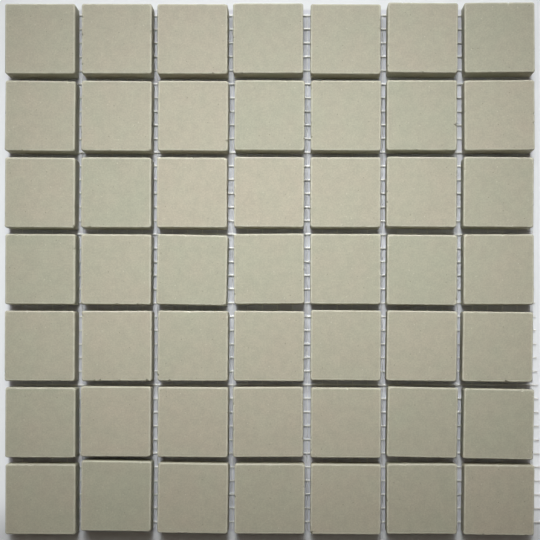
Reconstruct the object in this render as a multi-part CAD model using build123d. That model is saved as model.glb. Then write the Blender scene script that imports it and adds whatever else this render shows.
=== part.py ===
"""Net-backed sheet of square unglazed porcelain mosaic tiles.

Millimetres and degrees. Origin on the underside of the net, below the middle of the sheet.
+Z is up, out of the tile faces. Row 1 is the far row (+Y) and column 1 the left one (-X).
"""
import math
import os
import random

from build123d import *

# Tiles
tile_side = 23.0            # across the square face
tile_thickness = 5.0
corner_radius = 0.7         # upright edges, as pressed in the die
face_arris = 0.3            # 45 degree arris around the face

# Laying
joint_width = 2.0           # open joint between columns, left for grout
row_joint = 2.1             # and between rows
tiles_across = 7            # columns, along X
tiles_along = 7             # rows, along Y
laying_slip = 0.06          # how far a tile sits off its grid place, each way, at most, in joint widths
laying_lean = -0.3          # most tiles sit turned a little clockwise
laying_turn = 0.25          # and up to this much more or less
laying_seed = 5
# Tiles that sit plainly out of line, by row and column: off along X and Y in joint widths, and turned
out_of_line = {
    (1, 4): (-0.18, 0.09, 0.0),
    (1, 6): (0.11, 0.18, -0.55),
    (1, 7): (0.18, 0.22, 0.35),
    (2, 1): (0.02, -0.05, -0.85),
    (2, 7): (0.18, 0.06, 0.3),
    (3, 3): (-0.15, -0.03, -0.35),
    (4, 3): (-0.14, -0.13, -1.25),
    (4, 4): (-0.03, 0.03, 0.45),
    (4, 6): (0.0, -0.13, -0.55),
    (5, 6): (-0.03, -0.03, -0.8),
    (5, 7): (-0.11, -0.16, -0.8),
    (6, 2): (-0.13, 0.14, -0.35),
    (6, 4): (-0.19, 0.06, 0.1),
    (6, 6): (0.05, 0.01, -1.2),
    (6, 7): (0.04, -0.24, -1.05),
    (7, 2): (-0.06, 0.49, -0.75),
    (7, 3): (0.0, 0.16, -0.8),
    (7, 7): (0.11, -0.13, -0.7),
}

# Glass-fibre net under the tiles
yarn_width = 0.5
yarn_thickness = 0.4
glue_line = 0.05            # between the net and the backs of the tiles
warp_pitch = 5.0            # between the yarns that run along Y
weft_pitch = 4.56           # between the yarns that run along X
weft_offset = 0.6           # the net was laid this far towards +Y
left_inset = 2.0            # the net stops this far inside the tiles' left edge
back_inset = 1.2
front_inset = 0.5
overhang_front = 4.2        # the right edge was cut askew, past the tiles at the front
overhang_back = -1.0        # and short of them at the back

# Sizes that follow
column_pitch = tile_side + joint_width
row_pitch = tile_side + row_joint
sheet_x = tiles_across * column_pitch - joint_width
sheet_y = tiles_along * row_pitch - row_joint
net_left = left_inset - sheet_x / 2
net_back = sheet_y / 2 - back_inset
net_front = front_inset - sheet_y / 2
net_right = sheet_x / 2 + max(overhang_front, overhang_back)


def pressed_tile():
    """One tile, its plain back on z = 0, with rounded corners and an arris around the face."""
    blank = extrude(RectangleRounded(tile_side, tile_side, corner_radius), amount=tile_thickness)
    return chamfer(blank.edges().group_by(Axis.Z)[-1], min(face_arris, 0.8 * corner_radius))


def laid_tiles():
    """Every tile in its place on the net, by node name, each a little off and turned as laid by hand."""
    hand = random.Random(laying_seed)
    tile = pressed_tile()
    tiles = {}
    for row in range(1, tiles_along + 1):
        for column in range(1, tiles_across + 1):
            slip_x = hand.uniform(-laying_slip, laying_slip)
            slip_y = hand.uniform(-laying_slip, laying_slip)
            turn = laying_lean + hand.uniform(-laying_turn, laying_turn)
            slip_x, slip_y, turn = out_of_line.get((row, column), (slip_x, slip_y, turn))
            x = (column - (tiles_across + 1) / 2) * column_pitch + slip_x * joint_width
            y = ((tiles_along + 1) / 2 - row) * row_pitch + slip_y * row_joint
            place = Pos(x, y, yarn_thickness + glue_line) * Rot(0, 0, turn)
            tiles[f"tile_row{row}_col{column}"] = place * tile
    return tiles


def yarn_lines(middle, pitch, low, high):
    """Centre lines of the yarns between two cut edges; the middle lies halfway between two of them."""
    reach = math.ceil((high - low) / pitch)
    lines = [middle + (step + 0.5) * pitch for step in range(-reach, reach)]
    return [line for line in lines if low + yarn_width / 2 < line < high - yarn_width / 2]


def net_outline():
    """The net as cut from the roll, with its right edge askew."""
    corners = [
        (net_left, net_front),
        (sheet_x / 2 + overhang_front, net_front),
        (sheet_x / 2 + overhang_back, net_back),
        (net_left, net_back),
    ]
    return make_face(Polyline(*corners, close=True))


def openings_between(warps, wefts):
    """The openings that the yarns leave, with those at a cut edge running out past it."""
    x_lines = [warps[0] - 2 * warp_pitch, *warps, warps[-1] + 2 * warp_pitch]
    y_lines = [wefts[0] - 2 * weft_pitch, *wefts, wefts[-1] + 2 * weft_pitch]
    openings = []
    for x_low, x_high in zip(x_lines, x_lines[1:]):
        for y_low, y_high in zip(y_lines, y_lines[1:]):
            opening = Rectangle(x_high - x_low - yarn_width, y_high - y_low - yarn_width)
            openings.append(Pos((x_low + x_high) / 2, (y_low + y_high) / 2) * opening)
    return openings


def net_patch(x_low, x_high, y_low, y_high):
    """One quarter of the net: its yarns are one piece, fused where they cross."""
    warps = yarn_lines(0, warp_pitch, x_low, x_high)
    wefts = yarn_lines(weft_offset, weft_pitch, y_low, y_high)
    middle = Pos((x_low + x_high) / 2, (y_low + y_high) / 2)
    quarter = net_outline() & middle * Rectangle(x_high - x_low, y_high - y_low)
    return extrude(quarter - openings_between(warps, wefts), amount=yarn_thickness)


def net_quarters():
    """The net in four nodes that meet end to end, midway between the two middle yarns each way."""
    return {
        "net_back_left": net_patch(net_left, 0, weft_offset, net_back),
        "net_back_right": net_patch(0, net_right, weft_offset, net_back),
        "net_front_left": net_patch(net_left, 0, net_front, weft_offset),
        "net_front_right": net_patch(0, net_right, net_front, weft_offset),
    }


os.makedirs("parts", exist_ok=True)
for node, solid in {**laid_tiles(), **net_quarters()}.items():
    export_step(solid, f"parts/{node}.step", write_pcurves=False)
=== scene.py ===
import math
import random

import bpy
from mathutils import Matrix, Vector


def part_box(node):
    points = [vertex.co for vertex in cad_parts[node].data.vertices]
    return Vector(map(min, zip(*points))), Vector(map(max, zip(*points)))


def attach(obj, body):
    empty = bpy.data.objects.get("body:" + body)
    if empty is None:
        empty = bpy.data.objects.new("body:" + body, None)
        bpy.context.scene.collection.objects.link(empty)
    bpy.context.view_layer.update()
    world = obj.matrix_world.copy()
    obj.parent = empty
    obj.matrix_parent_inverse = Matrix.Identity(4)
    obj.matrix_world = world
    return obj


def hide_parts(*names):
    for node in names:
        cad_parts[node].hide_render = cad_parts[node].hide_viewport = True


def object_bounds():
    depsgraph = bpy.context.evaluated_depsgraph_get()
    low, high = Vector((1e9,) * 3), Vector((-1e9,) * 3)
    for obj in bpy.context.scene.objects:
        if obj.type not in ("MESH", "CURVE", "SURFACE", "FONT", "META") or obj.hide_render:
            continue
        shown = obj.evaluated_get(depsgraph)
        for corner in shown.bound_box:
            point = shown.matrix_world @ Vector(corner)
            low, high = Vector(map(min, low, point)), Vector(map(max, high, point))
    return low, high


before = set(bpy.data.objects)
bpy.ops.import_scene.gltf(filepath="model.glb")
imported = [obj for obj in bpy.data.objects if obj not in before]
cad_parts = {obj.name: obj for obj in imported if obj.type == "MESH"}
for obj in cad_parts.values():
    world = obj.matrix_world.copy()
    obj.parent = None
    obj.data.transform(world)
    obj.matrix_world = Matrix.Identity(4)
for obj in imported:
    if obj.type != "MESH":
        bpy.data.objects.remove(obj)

mm = 0.001
cadBox = [list(corner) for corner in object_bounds()]
scene = bpy.context.scene
scene.view_settings.view_transform = "Standard"
print("frame loaded:", len(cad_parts), "nodes")


# A colour code as linear light, with full alpha
def hexToLinear(code):
    parts = [int(code[i:i + 2], 16) / 255 for i in (1, 3, 5)]
    return [p / 12.92 if p <= 0.04045 else ((p + 0.055) / 1.055) ** 2.4 for p in parts] + [1.0]


# A node with its settings; an input may be a value, a socket, or a node whose first live output is meant
def addNode(tree, kind, inputs=None, **settings):
    node = tree.nodes.new(kind)
    for name, value in settings.items():
        setattr(node, name, value)
    for key, value in (inputs or {}).items():
        if isinstance(key, int):
            socket = node.inputs[key]
        else:
            socket = next(s for s in node.inputs if s.name == key and s.enabled)
        if isinstance(value, bpy.types.Node):
            value = next(s for s in value.outputs if s.enabled)
        if isinstance(value, bpy.types.NodeSocket):
            tree.links.new(value, socket)
        else:
            socket.default_value = value
    return node


# Arithmetic on numbers, given in the order of the node's sockets
def calculate(tree, operation, *values, **settings):
    return addNode(tree, "ShaderNodeMath", dict(enumerate(values)), operation=operation, **settings)


# Of a mix node's sockets, 6 and 7 take the two colours and output 2 gives the mixed one
def mixColours(tree, share, first, second):
    mix = addNode(tree, "ShaderNodeMix", {0: share, 6: first, 7: second}, data_type="RGBA")
    return mix.outputs[2]


# Whether the camera sees a point straight, in a mirror or through glass
def seenByCamera(tree):
    ray = addNode(tree, "ShaderNodeLightPath").outputs
    seen = calculate(tree, "MAXIMUM", ray["Is Camera Ray"], ray["Is Glossy Ray"])
    return calculate(tree, "MAXIMUM", seen, ray["Is Transmission Ray"])


def startMaterial(name):
    material = bpy.data.materials.new(name)
    material.use_nodes = True
    material.node_tree.nodes.clear()
    return material, material.node_tree


def startGeometryTree(name, inputs):
    tree = bpy.data.node_groups.new(name, "GeometryNodeTree")
    for label, kind in inputs.items():
        tree.interface.new_socket(label, in_out="INPUT", socket_type="NodeSocket" + kind)
    tree.interface.new_socket("Geometry", in_out="OUTPUT", socket_type="NodeSocketGeometry")
    return tree, addNode(tree, "NodeGroupInput").outputs


def finishGeometryTree(tree, geometry, material):
    real = addNode(tree, "GeometryNodeRealizeInstances", {"Geometry": geometry})
    dressed = addNode(tree, "GeometryNodeSetMaterial", {"Geometry": real, "Material": material})
    addNode(tree, "NodeGroupOutput", {"Geometry": dressed})


# Runs a tree on an empty object and keeps the result as a plain mesh
def growPiece(name, tree, values):
    piece = bpy.data.objects.new(name, bpy.data.meshes.new(name + "Start"))
    scene.collection.objects.link(piece)
    modifier = piece.modifiers.new(tree.name, "NODES")
    modifier.node_group = tree
    for item in tree.interface.items_tree:
        if item.in_out == "INPUT":
            modifier[item.identifier] = values[item.name]
    depsgraph = bpy.context.evaluated_depsgraph_get()
    grown = bpy.data.meshes.new_from_object(
        piece.evaluated_get(depsgraph), preserve_all_data_layers=True, depsgraph=depsgraph)
    piece.modifiers.remove(modifier)
    piece.data = grown
    grown.name = name
    return piece


# Unglazed porcelain, dry pressed and fired hard: matt and stony, with a soft mottle between greenish and
# pinkish grey, a very fine grain, a few pinholes with painted shade in them, pale specks, and a painted
# highlight along the arrises, drawn as a paler colour
porcelainLook = {
    "greenish": "#BABAA5",
    "pinkish": "#BFB8A5",
    # painted shade: the dark colour drawn inside each pinhole
    "shadedPinhole": "#95917D",
    "paleSpeck": "#D6D3C3",
    # painted highlight: the paler colour drawn along the arrises
    "arrisHighlight": "#D8D6C5",
    "mottleSize": 9.0 * mm,
    "mottleGain": 1.5,              # how strongly the mottle swings from greenish to pinkish
    "mottleStart": -0.55,
    "toneLean": 0.6,                # how far a tile's own tone takes it to the pinkish side
    "toneLevels": (0.975, 1.02),    # and how dark or light the tone makes it
    "noiseRange": (0.3, 0.7),       # most values of a noise lie between these
    "grainSize": 0.5 * mm,          # real grain is about 0.1 mm, drawn coarser so that it shows
    "grainSwing": 0.075,
    "cloudSize": 2.2 * mm,
    "cloudSwing": 0.038,
    "speckSpacing": 1.7 * mm,
    "speckRadius": 0.16 * mm,
    "speckSoftness": 0.4,           # of its radius, each way
    "pinholeShare": 0.24,           # of the cells that could hold a speck
    "paleShare": 0.22,
    "pinholeDepth": 0.8,            # against the grain's height
    "highlightLeast": 0.5,
    "highlightFullAt": 0.65,
    "bumpStrength": 0.25,
    "bumpDistance": 0.03 * mm,
    "roughness": 0.62,
    "ior": 1.5,
}


def makePorcelain(look):
    material, tree = startMaterial("unglazedPorcelain")
    place = addNode(tree, "ShaderNodeTexCoord").outputs["Object"]
    tone = addNode(tree, "ShaderNodeAttribute", attribute_name="tone").outputs["Fac"]
    edge = addNode(tree, "ShaderNodeAttribute", attribute_name="edge").outputs["Fac"]
    noiseLow, noiseHigh = look["noiseRange"]

    def swingOf(noise, swing):
        return addNode(tree, "ShaderNodeMapRange", {
            "Value": noise, "From Min": noiseLow, "From Max": noiseHigh,
            "To Min": 1 - swing, "To Max": 1 + swing})

    mottle = addNode(tree, "ShaderNodeTexNoise", {
        "Vector": place, "Scale": 1 / look["mottleSize"], "Detail": 2.0, "Roughness": 0.55})
    lean = calculate(tree, "MULTIPLY_ADD", mottle, look["mottleGain"], look["mottleStart"])
    leanTone = calculate(tree, "MULTIPLY_ADD", tone, look["toneLean"], lean, use_clamp=True)
    body = mixColours(tree, leanTone, hexToLinear(look["greenish"]), hexToLinear(look["pinkish"]))

    grain = addNode(tree, "ShaderNodeTexNoise", {
        "Vector": place, "Scale": 1 / look["grainSize"], "Detail": 1.0, "Roughness": 0.6})
    cloud = addNode(tree, "ShaderNodeTexNoise", {
        "Vector": place, "Scale": 1 / look["cloudSize"], "Detail": 1.0, "Roughness": 0.5})
    toneLow, toneHigh = look["toneLevels"]
    toneLevel = addNode(tree, "ShaderNodeMapRange", {"Value": tone, "To Min": toneLow, "To Max": toneHigh})
    grainLevel = swingOf(grain, look["grainSwing"])
    cloudLevel = swingOf(cloud, look["cloudSwing"])
    level = calculate(tree, "MULTIPLY", grainLevel, cloudLevel)
    level = calculate(tree, "MULTIPLY", level, toneLevel)
    grained = addNode(tree, "ShaderNodeVectorMath", {0: body, "Scale": level}, operation="SCALE")

    # One cell in a few holds a pinhole, drawn dark as painted shade in the hole, another few a pale speck
    cells = addNode(tree, "ShaderNodeTexVoronoi", {
        "Vector": place, "Scale": 1 / look["speckSpacing"], "Randomness": 1.0})
    pick = addNode(tree, "ShaderNodeSeparateColor", {"Color": cells.outputs["Color"]}).outputs[0]
    speckSize = look["speckRadius"] / look["speckSpacing"]
    spot = addNode(tree, "ShaderNodeMapRange", {
        "Value": cells.outputs["Distance"], "From Min": (1 - look["speckSoftness"]) * speckSize,
        "From Max": (1 + look["speckSoftness"]) * speckSize, "To Min": 1.0, "To Max": 0.0})
    isPinhole = calculate(tree, "LESS_THAN", pick, look["pinholeShare"])
    isPale = calculate(tree, "GREATER_THAN", pick, 1 - look["paleShare"])
    shadedPinhole = calculate(tree, "MULTIPLY", spot, isPinhole)
    pale = calculate(tree, "MULTIPLY", spot, isPale)
    pinholeShaded = mixColours(tree, shadedPinhole, grained, hexToLinear(look["shadedPinhole"]))
    specked = mixColours(tree, pale, pinholeShaded, hexToLinear(look["paleSpeck"]))

    # Painted highlight: the arrises are drawn in a paler colour, patchy with the cloud noise, as a bright
    # line round each face
    highlightPatches = addNode(tree, "ShaderNodeMapRange", {
        "Value": cloud, "From Min": noiseLow, "From Max": look["highlightFullAt"],
        "To Min": look["highlightLeast"], "To Max": 1.0})
    highlightMask = calculate(tree, "MULTIPLY", edge, highlightPatches)
    colour = mixColours(tree, highlightMask, specked, hexToLinear(look["arrisHighlight"]))

    relief = calculate(tree, "MULTIPLY_ADD", shadedPinhole, -look["pinholeDepth"], grain)
    bump = addNode(tree, "ShaderNodeBump", {
        "Height": relief, "Strength": look["bumpStrength"], "Distance": look["bumpDistance"]})
    shader = addNode(tree, "ShaderNodeBsdfPrincipled", {
        "Base Color": colour, "Roughness": look["roughness"], "IOR": look["ior"], "Normal": bump})
    addNode(tree, "ShaderNodeOutputMaterial", {"Surface": shader})
    return material


# Glass-fibre yarn in a hard white size: bright, a little glossy, finely uneven, with slightly duller patches
yarnLook = {
    "bright": "#FCFCFA",
    "dull": "#ECEDEB",
    "filamentSize": 0.15 * mm,
    "filamentShare": 0.5,           # against the patches, in what is dull
    "patchSize": 3.0 * mm,
    "dullFrom": 0.55,
    "dullTo": 0.95,
    "bumpStrength": 0.3,
    "bumpDistance": 0.03 * mm,
    "roughness": 0.28,
    "ior": 1.55,
}


def makeGlassYarn(look):
    material, tree = startMaterial("sizedGlassYarn")
    place = addNode(tree, "ShaderNodeTexCoord").outputs["Object"]
    filaments = addNode(tree, "ShaderNodeTexNoise", {
        "Vector": place, "Scale": 1 / look["filamentSize"], "Detail": 2.0})
    patches = addNode(tree, "ShaderNodeTexNoise", {
        "Vector": place, "Scale": 1 / look["patchSize"], "Detail": 1.0})
    both = calculate(tree, "MULTIPLY_ADD", filaments, look["filamentShare"], patches)
    wear = addNode(tree, "ShaderNodeMapRange", {
        "Value": both, "From Min": look["dullFrom"], "From Max": look["dullTo"]})
    colour = mixColours(tree, wear, hexToLinear(look["bright"]), hexToLinear(look["dull"]))
    bump = addNode(tree, "ShaderNodeBump", {
        "Height": filaments, "Strength": look["bumpStrength"], "Distance": look["bumpDistance"]})
    shader = addNode(tree, "ShaderNodeBsdfPrincipled", {
        "Base Color": colour, "Roughness": look["roughness"], "IOR": look["ior"], "Normal": bump})
    addNode(tree, "ShaderNodeOutputMaterial", {"Surface": shader})
    return material


porcelain = makePorcelain(porcelainLook)
glassYarn = makeGlassYarn(yarnLook)
print("materials made")


tileSizes = {
    "cornerRadius": 0.7 * mm,
    "cornerSteps": 12,
    "arris": 0.3 * mm,
    "arrisRound": 0.293,            # of the arris, at its middle ring, which rounds it
    "rimInsets": (0.05 * mm, 0.14 * mm, 0.34 * mm),     # of the face's first rings, past the arris
    "faceInset": 1.8 * mm,          # of the flat of the face
    "backInset": 1.0 * mm,
    "backEdge": 0.05 * mm,
    "chipReach": 0.5 * mm,          # down the side, below the arris
    "chipDepth": 0.6 * mm,          # deepest chip out of an arris
    "chipLength": 0.9 * mm,
    "chipFrom": 0.62,               # noise where a chip starts, and where it is deepest
    "chipFull": 0.75,
    "waver": 0.05 * mm,             # how unevenly the arris was pressed
    "waverLength": 2.6 * mm,
    "stepsAround": 288,
    "weldWithin": 0.008 * mm,
    "seed": 11,
    "seedStep": 7.3,                # from one tile to the next
}


# Rings of points run from the middle of the back, out, up the side, over the arris and in to the middle
def pressedTileTree(sizes):
    tree, given = startGeometryTree("pressedTile", {
        "Half Side": "Float", "Thickness": "Float", "Corner Radius": "Float", "Arris": "Float",
        "Chip Depth": "Float", "Chip Length": "Float", "Waver": "Float", "Steps Around": "Int",
        "Place": "Vector", "Turn": "Float", "Tone": "Float", "Seed": "Float", "Porcelain": "Material"})
    half = given["Half Side"]
    high = given["Thickness"]
    arris = given["Arris"]
    side = calculate(tree, "MULTIPLY", half, 2.0)
    faceEdge, faceRim, faceIn = [calculate(tree, "ADD", arris, inset) for inset in sizes["rimInsets"]]
    arrisIn = calculate(tree, "MULTIPLY", arris, sizes["arrisRound"])
    sideTop = calculate(tree, "SUBTRACT", high, arris)
    sideLow = calculate(tree, "SUBTRACT", sideTop, sizes["chipReach"])
    arrisMid = calculate(tree, "SUBTRACT", high, arrisIn)

    # Inset and height of each ring, then how far a chip takes it inwards and down, and its share of the
    # painted highlight along the arris
    rings = [
        (half, 0.0, 0.0, 0.0, 0.0),
        (sizes["backInset"], 0.0, 0.0, 0.0, 0.0),
        (sizes["backEdge"], 0.0, 0.0, 0.0, 0.0),
        (0.0, sizes["backEdge"], 0.0, 0.0, 0.0),
        (0.0, sideLow, 0.0, 0.0, 0.0),
        (0.0, sideTop, 0.1, 1.0, 0.3),
        (arrisIn, arrisMid, 0.75, 0.85, 0.8),
        (arris, high, 1.0, 0.3, 1.0),
        (faceEdge, high, 1.1, 0.0, 1.0),
        (faceRim, high, 0.8, 0.0, 0.75),
        (faceIn, high, 0.5, 0.0, 0.0),
        (sizes["faceInset"], high, 0.0, 0.0, 0.0),
        (half, high, 0.0, 0.0, 0.0),
    ]
    around = calculate(tree, "ADD", given["Steps Around"], 1.0)
    grid = addNode(tree, "GeometryNodeMeshGrid", {"Vertices X": around, "Vertices Y": len(rings)})
    index = addNode(tree, "GeometryNodeInputIndex")
    ring = calculate(tree, "MODULO", index, len(rings))
    firstOfStep = calculate(tree, "SUBTRACT", index, ring)
    pointsAround = calculate(tree, "MULTIPLY", given["Steps Around"], len(rings))
    factor = calculate(tree, "DIVIDE", firstOfStep, pointsAround)

    ringPlace = addNode(tree, "GeometryNodeIndexSwitch", data_type="VECTOR")
    ringChip = addNode(tree, "GeometryNodeIndexSwitch", data_type="VECTOR")
    for switch in (ringPlace, ringChip):
        while len(switch.index_switch_items) < len(rings):
            switch.index_switch_items.new()
        tree.links.new(ring.outputs[0], switch.inputs[0])
    for number, (inset, height, chipIn, chipDown, highlightShare) in enumerate(rings):
        placed = addNode(tree, "ShaderNodeCombineXYZ", {"X": inset, "Y": height})
        tree.links.new(placed.outputs[0], ringPlace.inputs[1 + number])
        ringChip.inputs[1 + number].default_value = (chipIn, chipDown, highlightShare)
    ringPlace = addNode(tree, "ShaderNodeSeparateXYZ", {0: ringPlace.outputs[0]}).outputs
    ringChip = addNode(tree, "ShaderNodeSeparateXYZ", {0: ringChip.outputs[0]}).outputs

    square = addNode(tree, "GeometryNodeCurvePrimitiveQuadrilateral", {"Width": side, "Height": side})
    outline = addNode(tree, "GeometryNodeFilletCurve", {
        "Curve": square, "Count": sizes["cornerSteps"], "Radius": given["Corner Radius"]}, mode="POLY")
    rim = addNode(tree, "GeometryNodeSampleCurve", {"Curves": outline, "Factor": factor}, mode="FACTOR")
    rimPoint = rim.outputs["Position"]

    # Chips are where a slow noise along the rim peaks, and the arris wavers a little everywhere
    chipScale = calculate(tree, "DIVIDE", 1.0, given["Chip Length"])
    chipNoise = addNode(tree, "ShaderNodeTexNoise", {
        "Vector": rimPoint, "W": given["Seed"], "Scale": chipScale, "Detail": 2.5, "Roughness": 0.6},
        noise_dimensions="4D")
    chip = addNode(tree, "ShaderNodeMapRange", {
        "Value": chipNoise, "From Min": sizes["chipFrom"], "From Max": sizes["chipFull"],
        "To Max": given["Chip Depth"]})
    waverNoise = addNode(tree, "ShaderNodeTexNoise", {
        "Vector": rimPoint, "W": given["Seed"], "Scale": 1 / sizes["waverLength"], "Detail": 2.0},
        noise_dimensions="4D")
    waver = calculate(tree, "MULTIPLY_ADD", waverNoise, given["Waver"], chip)
    inset = calculate(tree, "MULTIPLY_ADD", waver, ringChip["X"], ringPlace["X"])
    drop = calculate(tree, "MULTIPLY", waver, ringChip["Y"])
    height = calculate(tree, "SUBTRACT", ringPlace["Y"], drop)
    share = calculate(tree, "DIVIDE", inset, half)
    shrink = calculate(tree, "SUBTRACT", 1.0, share)
    flat = addNode(tree, "ShaderNodeVectorMath", {0: rimPoint, "Scale": shrink}, operation="SCALE")
    lift = addNode(tree, "ShaderNodeCombineXYZ", {"Z": height})
    point = addNode(tree, "ShaderNodeVectorMath", {0: flat, 1: lift}, operation="ADD")

    # Each point's share of the painted arris highlight, which the porcelain reads as its edge attribute
    edge = addNode(tree, "GeometryNodeStoreNamedAttribute", {
        "Geometry": grid.outputs["Mesh"], "Name": "edge", "Value": ringChip["Z"]}, domain="POINT")
    tone = addNode(tree, "GeometryNodeStoreNamedAttribute", {
        "Geometry": edge, "Name": "tone", "Value": given["Tone"]}, domain="POINT")
    shaped = addNode(tree, "GeometryNodeSetPosition", {"Geometry": tone, "Position": point})
    whole = addNode(tree, "GeometryNodeMergeByDistance", {
        "Geometry": shaped, "Distance": sizes["weldWithin"]})
    smooth = addNode(tree, "GeometryNodeSetShadeSmooth", {"Geometry": whole, "Shade Smooth": True})
    turned = addNode(tree, "ShaderNodeCombineXYZ", {"Z": given["Turn"]})
    laid = addNode(tree, "GeometryNodeTransform", {
        "Geometry": smooth, "Translation": given["Place"], "Rotation": turned})
    finishGeometryTree(tree, laid, given["Porcelain"])
    return tree


# Where the frame has a tile: its middle, its turn, half its side, and its thickness. The turn and the side
# come from the largest of its faces that look to the right
def readTilePlace(node):
    low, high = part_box(node)
    middle = Vector(((low.x + high.x) / 2, (low.y + high.y) / 2, low.z))
    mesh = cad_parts[node].data
    nearlyRight = 0.9
    rightFaces = [face for face in mesh.polygons if face.normal.x > nearlyRight]
    largest = max(rightFaces, key=lambda face: face.area)
    half = (mesh.vertices[largest.vertices[0]].co - middle).dot(largest.normal)
    return middle, math.atan2(largest.normal.y, largest.normal.x), half, high.z - low.z


tileTree = pressedTileTree(tileSizes)
tileTones = random.Random(tileSizes["seed"])
tileNodes = sorted(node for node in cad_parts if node.startswith("tile_"))
for number, node in enumerate(tileNodes):
    middle, turn, half, thickness = readTilePlace(node)
    tile = growPiece(node.replace("tile_", "porcelainTile_"), tileTree, {
        "Half Side": half, "Thickness": thickness, "Corner Radius": tileSizes["cornerRadius"],
        "Arris": tileSizes["arris"], "Chip Depth": tileSizes["chipDepth"],
        "Chip Length": tileSizes["chipLength"], "Waver": tileSizes["waver"],
        "Steps Around": tileSizes["stepsAround"], "Place": middle, "Turn": turn,
        "Tone": tileTones.random(), "Seed": tileSizes["seed"] + tileSizes["seedStep"] * number,
        "Porcelain": porcelain})
    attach(tile, "root")
    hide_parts(node)
print("tiles laid:", len(tileNodes))


netSizes = {
    "warpPitch": 5.0 * mm,          # paired yarns that run along Y
    "weftPitch": 4.56 * mm,         # single flat yarns that run along X
    "weftOffset": 0.6 * mm,
    "weftWidth": 0.56 * mm,
    "weftThickness": 0.4 * mm,
    "weftEdge": 0.06 * mm,          # cut off each corner of the flat yarn
    "weftSteps": 150,               # points along a yarn
    "warpSteps": 160,
    "strandRadius": 0.07 * mm,
    "strandSides": 4,
    "twistWide": 0.13 * mm,         # how far the two strands of a warp twist out sideways
    "twistHigh": 0.12 * mm,
    "waver": 0.16 * mm,             # how far a yarn strays to each side, and over what length
    "weftWaverLength": 14 * mm,
    "warpWaverLength": 18 * mm,
    "waverNoise": (0.2, 0.8),       # noise that strays furthest to one side and to the other
    "edgeRise": 0.35 * mm,          # how far the free cut ends stand up
    "riseOver": 1.3 * mm,
    "seed": 4.0,
}


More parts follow.
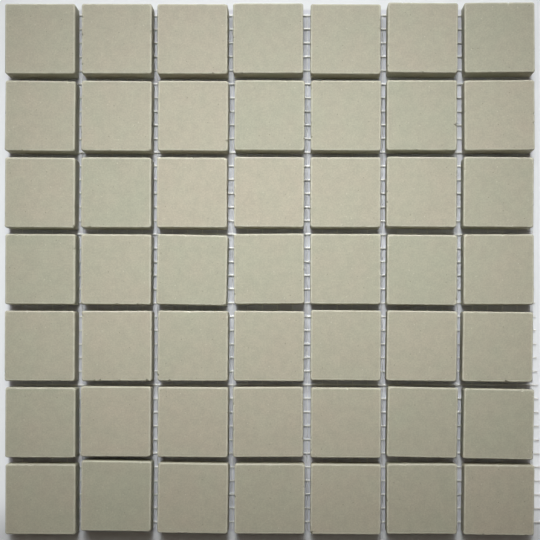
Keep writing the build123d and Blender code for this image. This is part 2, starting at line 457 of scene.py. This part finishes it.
def glassNetTree(sizes):
    tree, given = startGeometryTree("glassFibreNet", {
        "Left": "Float", "Right Front": "Float", "Right Back": "Float", "Front": "Float", "Back": "Float",
        "Middle Height": "Float", "First Warp": "Float", "Warp Pitch": "Float", "Warps": "Int",
        "First Weft": "Float", "Weft Pitch": "Float", "Wefts": "Int", "Weft Width": "Float",
        "Weft Thickness": "Float", "Weft Edge": "Float", "Strand Radius": "Float",
        "Twist Wide": "Float", "Twist High": "Float", "Waver": "Float", "Tiles End": "Float",
        "Edge Rise": "Float", "Rise Over": "Float", "Seed": "Float", "Yarn": "Material"})
    where = addNode(tree, "ShaderNodeSeparateXYZ", {0: addNode(tree, "GeometryNodeInputPosition")}).outputs
    along = addNode(tree, "GeometryNodeSplineParameter").outputs["Factor"]
    riseEnd = calculate(tree, "ADD", given["Tiles End"], given["Rise Over"])

    # Past the last tiles the net stands up a little
    def heightAt(x):
        rise = addNode(tree, "ShaderNodeMapRange", {
            "Value": x, "From Min": given["Tiles End"], "From Max": riseEnd,
            "To Max": given["Edge Rise"]}, interpolation_type="SMOOTHSTEP")
        return calculate(tree, "ADD", given["Middle Height"], rise)

    def pointRow(axis, first, pitch, count):
        start = addNode(tree, "ShaderNodeCombineXYZ", {axis: first})
        step = addNode(tree, "ShaderNodeCombineXYZ", {axis: pitch})
        return addNode(tree, "GeometryNodeMeshLine", {
            "Count": count, "Start Location": start, "Offset": step}, mode="OFFSET")

    def linesOn(points, end, steps):
        line = addNode(tree, "GeometryNodeCurvePrimitiveLine", {"Start": (0, 0, 0), "End": end})
        line = addNode(tree, "GeometryNodeResampleCurve", {"Curve": line, "Count": steps})
        lines = addNode(tree, "GeometryNodeInstanceOnPoints", {"Points": points, "Instance": line})
        return addNode(tree, "GeometryNodeRealizeInstances", {"Geometry": lines})

    # From -1 to 1, to one side and the other
    def swayAt(x, y, length):
        spot = addNode(tree, "ShaderNodeCombineXYZ", {"X": x, "Y": y})
        noise = addNode(tree, "ShaderNodeTexNoise", {
            "Vector": spot, "W": given["Seed"], "Scale": 1 / length, "Detail": 1.0}, noise_dimensions="4D")
        low, high = sizes["waverNoise"]
        return addNode(tree, "ShaderNodeMapRange", {
            "Value": noise, "From Min": low, "From Max": high, "To Min": -1.0, "To Max": 1.0})

    # Wefts end at the right edge, which was cut askew
    weftPoints = pointRow("Y", given["First Weft"], given["Weft Pitch"], given["Wefts"])
    wefts = linesOn(weftPoints, (1, 0, 0), sizes["weftSteps"])
    cut = addNode(tree, "ShaderNodeMapRange", {
        "Value": where["Y"], "From Min": given["Front"], "From Max": given["Back"],
        "To Min": given["Right Front"], "To Max": given["Right Back"]}, clamp=False)
    weftX = addNode(tree, "ShaderNodeMapRange", {
        "Value": along, "To Min": given["Left"], "To Max": cut}, clamp=False)
    weftSway = swayAt(weftX, where["Y"], sizes["weftWaverLength"])
    weftY = calculate(tree, "MULTIPLY_ADD", weftSway, given["Waver"], where["Y"])
    weftPlace = addNode(tree, "ShaderNodeCombineXYZ", {"X": weftX, "Y": weftY, "Z": heightAt(weftX)})
    wefts = addNode(tree, "GeometryNodeSetPosition", {"Geometry": wefts, "Position": weftPlace})
    wefts = addNode(tree, "GeometryNodeSetCurveNormal", {"Curve": wefts}, mode="Z_UP")
    tape = addNode(tree, "GeometryNodeCurvePrimitiveQuadrilateral", {
        "Width": given["Weft Width"], "Height": given["Weft Thickness"]})
    weftRing = addNode(tree, "GeometryNodeFilletCurve", {
        "Curve": tape, "Count": 1, "Radius": given["Weft Edge"]}, mode="POLY")
    weftMesh = addNode(tree, "GeometryNodeCurveToMesh", {
        "Curve": wefts, "Profile Curve": weftRing, "Fill Caps": True})

    # Warps are two strands that twist half round between one weft and the next
    warpPoints = pointRow("X", given["First Warp"], given["Warp Pitch"], given["Warps"])
    pairs = addNode(tree, "GeometryNodeDuplicateElements", {"Geometry": warpPoints, "Amount": 2},
                    domain="POINT").outputs
    strandPoints = addNode(tree, "GeometryNodeStoreNamedAttribute", {
        "Geometry": pairs["Geometry"], "Name": "strand", "Value": pairs["Duplicate Index"]}, domain="POINT")
    warps = linesOn(strandPoints, (0, 1, 0), sizes["warpSteps"])
    cutOff = addNode(tree, "ShaderNodeMapRange", {
        "Value": where["X"], "From Min": given["Right Front"], "From Max": given["Right Back"],
        "To Min": given["Front"], "To Max": given["Back"]}, clamp=False)
    warpEnd = calculate(tree, "MINIMUM", cutOff, given["Back"])
    warpY = addNode(tree, "ShaderNodeMapRange", {
        "Value": along, "To Min": given["Front"], "To Max": warpEnd}, clamp=False)
    fromWeft = calculate(tree, "SUBTRACT", warpY, given["First Weft"])
    weftsPassed = calculate(tree, "DIVIDE", fromWeft, given["Weft Pitch"])
    strand = addNode(tree, "GeometryNodeInputNamedAttribute", {"Name": "strand"}).outputs["Attribute"]
    halfTurns = calculate(tree, "ADD", weftsPassed, strand)
    angle = calculate(tree, "MULTIPLY", halfTurns, math.pi)
    sideways = calculate(tree, "SINE", angle)
    upwards = calculate(tree, "COSINE", angle)
    warpSway = swayAt(where["X"], warpY, sizes["warpWaverLength"])
    warpX = calculate(tree, "MULTIPLY_ADD", warpSway, given["Waver"], where["X"])
    warpX = calculate(tree, "MULTIPLY_ADD", sideways, given["Twist Wide"], warpX)
    warpZ = calculate(tree, "MULTIPLY_ADD", upwards, given["Twist High"], heightAt(where["X"]))
    warpPlace = addNode(tree, "ShaderNodeCombineXYZ", {"X": warpX, "Y": warpY, "Z": warpZ})
    warps = addNode(tree, "GeometryNodeSetPosition", {"Geometry": warps, "Position": warpPlace})
    strandRing = addNode(tree, "GeometryNodeCurvePrimitiveCircle", {
        "Resolution": sizes["strandSides"], "Radius": given["Strand Radius"]})
    warpMesh = addNode(tree, "GeometryNodeCurveToMesh", {
        "Curve": warps, "Profile Curve": strandRing, "Fill Caps": True})

    net = addNode(tree, "GeometryNodeJoinGeometry", {"Geometry": weftMesh})
    tree.links.new(warpMesh.outputs["Mesh"], net.inputs["Geometry"])
    smooth = addNode(tree, "GeometryNodeSetShadeSmooth", {"Geometry": net, "Shade Smooth": True})
    finishGeometryTree(tree, smooth, given["Yarn"])
    return tree


# First line and count of the yarns that lie between two edges, at a pitch with the middle between two
def countYarns(low, high, pitch, middle):
    first = math.ceil((low - middle) / pitch - 0.5)
    last = math.floor((high - middle) / pitch - 0.5)
    return middle + (first + 0.5) * pitch, last - first + 1


netNodes = sorted(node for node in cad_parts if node.startswith("net_"))
netLow = [min(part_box(node)[0][axis] for node in netNodes) for axis in range(3)]
netHigh = [max(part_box(node)[1][axis] for node in netNodes) for axis in range(3)]
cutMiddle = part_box("net_back_right")[1].x
cutSlope = (cutMiddle - netHigh[0]) / (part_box("net_back_right")[0].y - netLow[1])
yarnRoom = netSizes["weftWidth"] / 2 + netSizes["waver"]
firstWarp, warpCount = countYarns(netLow[0], netHigh[0], netSizes["warpPitch"], 0)
firstWeft, weftCount = countYarns(
    netLow[1] + yarnRoom, netHigh[1] - yarnRoom, netSizes["weftPitch"], netSizes["weftOffset"])
net = growPiece("glassFibreNet", glassNetTree(netSizes), {
    "Left": netLow[0], "Right Front": netHigh[0],
    "Right Back": netHigh[0] + cutSlope * (netHigh[1] - netLow[1]),
    "Front": netLow[1], "Back": netHigh[1], "Middle Height": (netLow[2] + netHigh[2]) / 2,
    "First Warp": firstWarp, "Warp Pitch": netSizes["warpPitch"], "Warps": warpCount,
    "First Weft": firstWeft, "Weft Pitch": netSizes["weftPitch"], "Wefts": weftCount,
    "Weft Width": netSizes["weftWidth"], "Weft Thickness": netSizes["weftThickness"],
    "Weft Edge": netSizes["weftEdge"], "Strand Radius": netSizes["strandRadius"],
    "Twist Wide": netSizes["twistWide"], "Twist High": netSizes["twistHigh"], "Waver": netSizes["waver"],
    "Tiles End": max(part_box(node)[1].x for node in tileNodes), "Edge Rise": netSizes["edgeRise"],
    "Rise Over": netSizes["riseOver"], "Seed": netSizes["seed"], "Yarn": glassYarn})
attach(net, "root")
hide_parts(*netNodes)
print("net woven:", weftCount, "wefts,", warpCount, "warps")


# White table top, drawn greyer under the sheet as painted shade. Close to the sheet it takes light and
# shadow;
# further off, and in part beside and behind it, what the camera sees of it is an even pale
stageLook = {
    "table": "#F4F8FD",
    "shadeUnderSheet": "#E2E4EC",
    "farTable": "#F6F8FA",
    "halfSize": 3000 * mm,
    "drop": 0.02 * mm,              # below the net, so that the two don't share a plane
    "sheetReach": 86.7 * mm,        # half the sheet
    "edgeFade": 0.8 * mm,
    "paleAt": 32 * mm,              # off the sheet, where the even pale is full
    "besideShare": 0.42,            # of the even pale, right beside and behind the sheet
    "frontStart": -74 * mm,         # along Y, where that share starts to fade, and where it ends
    "frontEnd": -88.7 * mm,
    "roughness": 0.8,
    "specular": 0.15,
}


def makeTable(look):
    material, tree = startMaterial("whiteTableTop")
    place = addNode(tree, "ShaderNodeTexCoord").outputs["Object"]
    reach = look["sheetReach"]
    flat = addNode(tree, "ShaderNodeVectorMath", {0: place}, operation="ABSOLUTE")
    off = addNode(tree, "ShaderNodeVectorMath", {0: flat, 1: (reach, reach, 1.0)}, operation="SUBTRACT")
    off = addNode(tree, "ShaderNodeVectorMath", {0: off, 1: (0.0, 0.0, 0.0)}, operation="MAXIMUM")
    away = addNode(tree, "ShaderNodeVectorMath", {0: off}, operation="LENGTH").outputs["Value"]
    far = addNode(tree, "ShaderNodeMapRange", {"Value": away, "From Max": look["paleAt"]},
                  interpolation_type="SMOOTHSTEP")
    ahead = addNode(tree, "ShaderNodeSeparateXYZ", {0: place}).outputs["Y"]
    beside = addNode(tree, "ShaderNodeMapRange", {
        "Value": ahead, "From Min": look["frontEnd"], "From Max": look["frontStart"],
        "To Max": look["besideShare"]}, interpolation_type="SMOOTHSTEP")
    far = calculate(tree, "MAXIMUM", far, beside)
    outside = addNode(tree, "ShaderNodeMapRange", {"Value": away, "From Max": look["edgeFade"]})
    # Painted shade: under the sheet the table's colour is drawn greyer
    colour = mixColours(tree, outside, hexToLinear(look["shadeUnderSheet"]), hexToLinear(look["table"]))
    lit = addNode(tree, "ShaderNodeBsdfPrincipled", {
        "Base Color": colour, "Roughness": look["roughness"], "Specular IOR Level": look["specular"]})
    even = addNode(tree, "ShaderNodeEmission", {"Color": hexToLinear(look["farTable"]), "Strength": 1.0})
    share = calculate(tree, "MULTIPLY", far, seenByCamera(tree))
    share = calculate(tree, "MULTIPLY", share, outside)
    both = addNode(tree, "ShaderNodeMixShader", {0: share, 1: lit, 2: even})
    addNode(tree, "ShaderNodeOutputMaterial", {"Surface": both})
    return material


table = bpy.data.objects.new("tableTop", bpy.data.meshes.new("tableTop"))
reach = stageLook["halfSize"]
level = -stageLook["drop"]
table.data.from_pydata(
    [(-reach, -reach, level), (reach, -reach, level), (reach, reach, level), (-reach, reach, level)],
    [], [(0, 1, 2, 3)])
table.data.materials.append(makeTable(stageLook))
scene.collection.objects.link(table)


# A dim warm room in front of the sheet, a paler one behind it, and soft lamps behind it
lightLook = {
    "frontColour": "#F0C898",
    "backColour": "#EEF4FC",
    "roomFront": 0.022,
    "roomBack": 0.6,
    "roomTurn": 0.0,                # heading along Y from which the room grows lighter
    "backdrop": "#F6F8FA",
    "lampColour": "#FCFEFD",
    "lampWatts": 21.8,
    "lamps": ((26.0, 0.15), (3.0, 0.72), (-18.0, 0.13)),    # degrees round to the left, share of the watts
    "lampAim": (1 * mm, 11 * mm, 0.0),
    "lampDistance": 597 * mm,
    "lampElevation": 49.0,
    "lampRadius": 93 * mm,
    "lampCone": 41.6,
    "lampBlend": 1.0,               # its pool of light fades all the way from the middle
    "lampFlatness": 0.42,           # and is wider than it is deep
}


def lightStage(look):
    world = bpy.data.worlds.new("softRoom")
    world.use_nodes = True
    tree = world.node_tree
    tree.nodes.clear()
    heading = addNode(tree, "ShaderNodeTexCoord").outputs["Generated"]
    backwards = addNode(tree, "ShaderNodeSeparateXYZ", {0: heading}).outputs["Y"]
    backShare = addNode(tree, "ShaderNodeMapRange", {
        "Value": backwards, "From Min": look["roomTurn"], "From Max": 1.0})
    level = addNode(tree, "ShaderNodeMapRange", {
        "Value": backShare, "To Min": look["roomFront"], "To Max": look["roomBack"]})
    tint = mixColours(tree, backShare, hexToLinear(look["frontColour"]), hexToLinear(look["backColour"]))
    fill = addNode(tree, "ShaderNodeBackground", {"Color": tint, "Strength": level})
    pale = addNode(tree, "ShaderNodeBackground", {"Color": hexToLinear(look["backdrop"]), "Strength": 1.0})
    both = addNode(tree, "ShaderNodeMixShader", {0: seenByCamera(tree), 1: fill, 2: pale})
    addNode(tree, "ShaderNodeOutputWorld", {"Surface": both})
    scene.world = world

    elevation = math.radians(look["lampElevation"])
    for number, (turn, part) in enumerate(look["lamps"]):
        lamp = bpy.data.lights.new(f"lampBehind{number + 1}", "SPOT")
        lamp.energy = look["lampWatts"] * part
        lamp.color = hexToLinear(look["lampColour"])[:3]
        lamp.shadow_soft_size = look["lampRadius"]
        lamp.spot_size = math.radians(look["lampCone"])
        lamp.spot_blend = look["lampBlend"]
        lampObject = bpy.data.objects.new(lamp.name, lamp)
        around = math.radians(90 + turn)
        flat = math.cos(elevation)
        back = Vector((flat * math.cos(around), flat * math.sin(around), math.sin(elevation)))
        lampObject.location = Vector(look["lampAim"]) + look["lampDistance"] * back
        lampObject.rotation_euler = (-back).to_track_quat("-Z", "Y").to_euler()
        lampObject.scale = (1.0, look["lampFlatness"], 1.0)
        scene.collection.objects.link(lampObject)


lightStage(lightLook)
print("table and light set")


# Seen from straight above through a lens shifted off the sheet, as in the photograph
cameraLook = {
    "imageSize": 540,                   # pixels, each way
    "pixelsPerMetre": 3058,             # at the tile faces
    "sheetMiddle": (269.2, 269.05),     # pixel where the sheet's middle lies
    "pointBelow": (302.0, 342.0),       # pixel straight below the lens
    "height": 265 * mm,                 # above the tile faces
    "sensorWidth": 36.0,                # in millimetres, as Blender takes it
    "clipStart": 10 * mm,
}


def placeCamera(look):
    camera = bpy.data.cameras.new("camera")
    imageSize = look["imageSize"]
    scale = look["pixelsPerMetre"]
    belowX, belowY = look["pointBelow"]
    middleX, middleY = look["sheetMiddle"]
    camera.sensor_width = look["sensorWidth"]
    camera.lens = scale * look["height"] / imageSize * look["sensorWidth"]
    camera.shift_x = (imageSize / 2 - belowX) / imageSize
    camera.shift_y = (belowY - imageSize / 2) / imageSize
    camera.clip_start = look["clipStart"]
    cameraObject = bpy.data.objects.new("camera", camera)
    cameraObject.location = (
        (belowX - middleX) / scale, (middleY - belowY) / scale, look["height"] + cadBox[1][2])
    scene.collection.objects.link(cameraObject)
    scene.camera = cameraObject


placeCamera(cameraLook)
print("camera placed")
